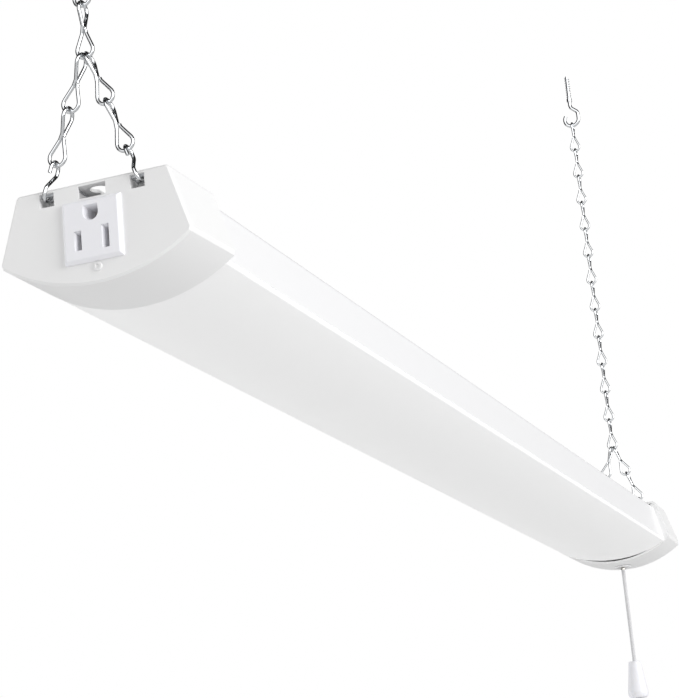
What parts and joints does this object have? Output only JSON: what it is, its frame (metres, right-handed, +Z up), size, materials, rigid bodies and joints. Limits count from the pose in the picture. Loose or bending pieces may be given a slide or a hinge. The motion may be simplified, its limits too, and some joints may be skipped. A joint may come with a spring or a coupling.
{
  "type": "hanging shop light",
  "caption": "Linkable LED shop light: white housing and frosted lens between moulded end caps, hung level from jack chains, with a mains outlet and a pull-cord switch.",
  "frame": {"origin": "midway between the two ceiling hooks, where the chains bear on them", "axes": "+Z up, +X along the light from the outlet end to the pull-cord end, +Y across"},
  "size_m": [0.947, 0.0902, 0.5415],
  "materials": {
    "white_cap": "satin moulded plastic",
    "white_enamel": "smooth white powder coat",
    "frosted_lens": "frosted extruded plastic",
    "board_aluminium": "white solder mask on aluminium",
    "led_chip": "moulded phosphor lens",
    "driver_plastic": "black moulded plastic",
    "zinc_steel": "bright zinc plate",
    "chain_steel": "bright zinc plate",
    "outlet_nylon": "moulded nylon",
    "contact_brass": "bright strip",
    "screw_nickel": "nickel plate",
    "inlet_plastic": "moulded nylon",
    "switch_plastic": "black moulded plastic",
    "collar_plastic": "white moulded plastic",
    "ring_steel": "nickel plate",
    "cord_braid": "white braided polyester",
    "knob_plastic": "white moulded plastic"
  },
  "bodies": {
    "ceiling": {"ceiling_hook_near": "chain_steel", "ceiling_hook_far": "chain_steel"},
    "chain_tops": {"top_link_near": "chain_steel", "top_link_far": "chain_steel"},
    "near_chain": {"chain_near": "chain_steel", "chain_leg_near_left": "chain_steel", "chain_leg_near_right": "chain_steel", "s_hook_near_left": "chain_steel", "s_hook_near_right": "chain_steel"},
    "far_chain": {"chain_far": "chain_steel", "chain_leg_far_left": "chain_steel", "chain_leg_far_right": "chain_steel", "s_hook_far_left": "chain_steel", "s_hook_far_right": "chain_steel"},
    "light": {"near_end_cap": "white_cap", "far_end_cap": "white_cap", "housing": "white_enamel", "lens": "frosted_lens", "led_tray": "white_enamel", "led_board_left": "board_aluminium", "led_board_right": "board_aluminium", "led_chips_left": "led_chip", "led_chips_right": "led_chip", "driver_case": "driver_plastic", "driver_lid": "driver_plastic", "hanger_plate_near": "zinc_steel", "hanger_plate_far": "zinc_steel", "outlet_socket": "outlet_nylon", "outlet_contacts": "contact_brass", "outlet_clamp": "zinc_steel", "face_screw": "screw_nickel", "power_inlet": "inlet_plastic", "inlet_nut": "inlet_plastic", "switch_collar": "collar_plastic", "switch_nut": "collar_plastic", "switch_body": "switch_plastic"},
    "plunger": {"switch_plunger": "collar_plastic"},
    "ring": {"cord_ring": "ring_steel"},
    "cord": {"cord_ferrule": "ring_steel", "pull_cord": "cord_braid", "pull_knob": "knob_plastic", "cord_knot": "cord_braid"}
  },
  "joints": [
    {"name": "sideways_swing", "type": "hinge", "parent": "ceiling", "child": "chain_tops", "pos_m": [0, 0, 0.006], "axis": [1, 0, 0], "range_deg": [-15, 15]},
    {"name": "lengthways_swing", "type": "hinge", "parent": "chain_tops", "child": "near_chain", "pos_m": [-0.4683, 0, -0.0234], "axis": [0, 1, 0], "range_deg": [-20, 20]},
    {"name": "far_chain_swing", "type": "hinge", "parent": "chain_tops", "child": "far_chain", "pos_m": [0.4683, 0, -0.0234], "axis": [0, 1, 0], "range_deg": [-20, 20]},
    {"name": "light_level", "type": "hinge", "parent": "near_chain", "child": "light", "pos_m": [-0.4683, 0, -0.3443], "axis": [0, 1, 0], "range_deg": [-20, 20]},
    {"name": "switch_pull", "type": "slide", "parent": "light", "child": "plunger", "axis": [0, 0, -1], "range_m": [0, 0.005], "stiffness_N_per_m": 1500, "springref_m": -0.003},
    {"name": "ring_swing", "type": "hinge", "parent": "plunger", "child": "ring", "pos_m": [0.45, 0, -0.3839], "axis": [0, 1, 0], "range_deg": [-20, 20]},
    {"name": "cord_swing", "type": "hinge", "parent": "ring", "child": "cord", "pos_m": [0.45, 0, -0.3861], "axis": [1, 0, 0], "range_deg": [-20, 20]}
  ],
  "couplings": [
    {"joint": "far_chain_swing", "follows": "lengthways_swing", "ratio": 1},
    {"joint": "light_level", "follows": "lengthways_swing", "ratio": -1}
  ]
}
